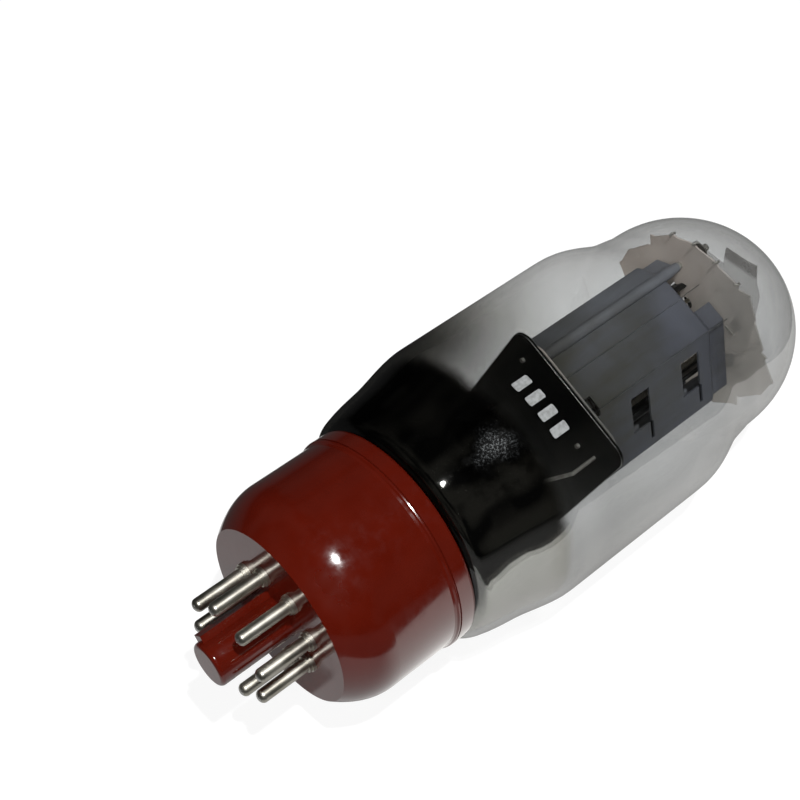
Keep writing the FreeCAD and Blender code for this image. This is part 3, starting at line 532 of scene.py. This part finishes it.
def printed_mark(finishes):
    """Four plain bars of white ink on the bulb, with no lettering."""
    mesh = bpy.data.meshes.new("printed_mark")
    reach = BULB_R + MARK_PROUD
    verts = []
    faces = []
    for centre in MARK_ANGLES:
        first = len(verts)
        for row in range(MARK_ROWS + 1):
            for column in range(MARK_COLUMNS + 1):
                across = column / MARK_COLUMNS * 2.0 - 1.0
                along = row / MARK_ROWS * 2.0 - 1.0
                angle = math.radians(centre + across * MARK_HALF_TURN)
                x = MARK_X + along * MARK_HALF_LENGTH * (1.0 - MARK_END_ROUND * across ** MARK_END_POWER)
                verts.append(Vector((x, reach * math.cos(angle), reach * math.sin(angle))) * MM)
        for row in range(MARK_ROWS):
            for column in range(MARK_COLUMNS):
                corner = first + row * (MARK_COLUMNS + 1) + column
                faces.append((corner, corner + 1, corner + MARK_COLUMNS + 2, corner + MARK_COLUMNS + 1))
    mesh.from_pydata(verts, [], faces)
    mesh.update()
    add_piece("printed_mark", mesh, finishes["ink"])


# ---- stage -----------------------------------------------------------------------
def pale_zone(s, x, y):
    """1 inside the part of the floor that reflections see as pale, and 0 outside it."""
    slant = s.math("MULTIPLY", s.math("MAXIMUM", s.math("SUBTRACT", x, PALE_SLANT_FROM_X), 0.0), PALE_SLANT)
    near = s.math("ADD", s.math("SUBTRACT", y, PALE_NEAR_Y), slant)
    far = s.math("MINIMUM", s.math("SUBTRACT", PALE_X[1], x), s.math("SUBTRACT", PALE_FAR_Y, y))
    low = s.math("SUBTRACT", x, PALE_X[0])
    inside = s.math("MINIMUM", s.math("MINIMUM", near, low), far)
    return s.remap(inside, -PALE_EDGE, PALE_EDGE)


def floor():
    """Pale floor to the camera; to every other ray, a bounded pale area that glows brighter towards the
    dome, on a dim floor.
    """
    bpy.ops.mesh.primitive_plane_add(size=FLOOR_SIZE, location=(0.0, 0.0, FLOOR_Z * MM - FLOOR_GAP))
    plane = bpy.context.active_object
    plane.name = "floor"
    s = Shader("floor")
    x, y = s.axes()[:2]
    glow = s.remap(x, *GLOW_X, *GLOW_STRENGTH)
    pale = s.surface(Base_Color=(0.25, 0.25, 0.25, 1.0), Roughness=0.7,
                     Emission_Color=(1.0, 0.99, 0.95, 1.0), Emission_Strength=glow)
    dim = s.surface(Base_Color=(0.03, 0.03, 0.03, 1.0), Roughness=0.9)
    seen = s.surface(Base_Color=(0.15, 0.15, 0.15, 1.0), Roughness=0.9,
                     Emission_Color=(1.0, 1.0, 1.0, 1.0), Emission_Strength=0.86)
    path = s.add("ShaderNodeLightPath")
    around = s.mix(pale_zone(s, x, y), dim, pale)
    plane.data.materials.append(s.finish(s.mix(path.outputs["Is Camera Ray"], around, seen)))


def lamp(name, direction, size, power):
    light = bpy.data.lights.new(name, "AREA")
    light.shape = "DISK"
    light.size = size
    light.energy = power
    item = bpy.data.objects.new(name, light)
    bpy.context.scene.collection.objects.link(item)
    item.location = SCENE_CENTRE + direction.normalized() * LAMP_DISTANCE
    item.rotation_euler = direction.to_track_quat("Z", "Y").to_euler()
    return item


def surroundings():
    """White to the camera, and a dark cloudy room to every other ray."""
    world = bpy.data.worlds.new("studio")
    bpy.context.scene.world = world
    world.use_nodes = True
    tree = world.node_tree
    tree.nodes.clear()
    output = tree.nodes.new("ShaderNodeOutputWorld")
    background = tree.nodes.new("ShaderNodeBackground")
    path = tree.nodes.new("ShaderNodeLightPath")
    place = tree.nodes.new("ShaderNodeTexCoord")
    cloud = tree.nodes.new("ShaderNodeTexNoise")
    cloud.inputs["Scale"].default_value = 2.2
    cloud.inputs["Detail"].default_value = 1.0
    ramp = tree.nodes.new("ShaderNodeValToRGB")
    for element, (position, colour) in zip(ramp.color_ramp.elements, ROOM_TONES):
        element.position = position
        element.color = (*colour, 1.0)
    mix = tree.nodes.new("ShaderNodeMixRGB")
    mix.inputs[2].default_value = (0.85, 0.85, 0.85, 1.0)
    tree.links.new(place.outputs["Generated"], cloud.inputs["Vector"])
    tree.links.new(cloud.outputs["Fac"], ramp.inputs["Fac"])
    tree.links.new(path.outputs["Is Camera Ray"], mix.inputs[0])
    tree.links.new(ramp.outputs["Color"], mix.inputs[1])
    tree.links.new(mix.outputs[0], background.inputs["Color"])
    tree.links.new(background.outputs[0], output.inputs["Surface"])


def studio():
    """A small hard lamp, a broad soft one that leaves no highlights, and the room."""
    lamp("key", KEY_FROM, KEY_SIZE, KEY_POWER)
    fill = lamp("fill", FILL_FROM, FILL_SIZE, FILL_POWER)
    fill.visible_glossy = False
    surroundings()


def camera():
    lens = bpy.data.cameras.new("camera")
    lens.lens = CAMERA_LENS
    lens.sensor_width = CAMERA_SENSOR
    lens.clip_start = 0.01
    item = bpy.data.objects.new("camera", lens)
    bpy.context.scene.collection.objects.link(item)
    back = CAMERA_RIGHT.cross(CAMERA_UP).normalized()
    turn = Matrix((CAMERA_RIGHT.normalized(), back.cross(CAMERA_RIGHT).normalized(), back)).transposed()
    item.matrix_world = Matrix.Translation(CAMERA_AT) @ turn.to_4x4()
    bpy.context.scene.camera = item


finishes = paint_nodes()
# Lighter metal colour for the anode's fold lines: a painted highlight.
finishes["painted_fold_highlight"] = nickel("painted_fold_highlight", (0.26, 0.27, 0.28), (0.14, 0.145, 0.15), 0.35, 0.5)
# Bright metal colour for the plate's edge line: a painted highlight.
finishes["painted_edge_highlight"] = nickel("painted_edge_highlight", (0.5, 0.51, 0.5), (0.3, 0.31, 0.3), 0.3, 0.5)
finishes["ink"] = print_ink()
plate_edge(finishes)
anode_creases(finishes)
mica_lugs(finishes)
printed_mark(finishes)
floor()
studio()
camera()
bpy.context.scene.view_settings.view_transform = "Standard"
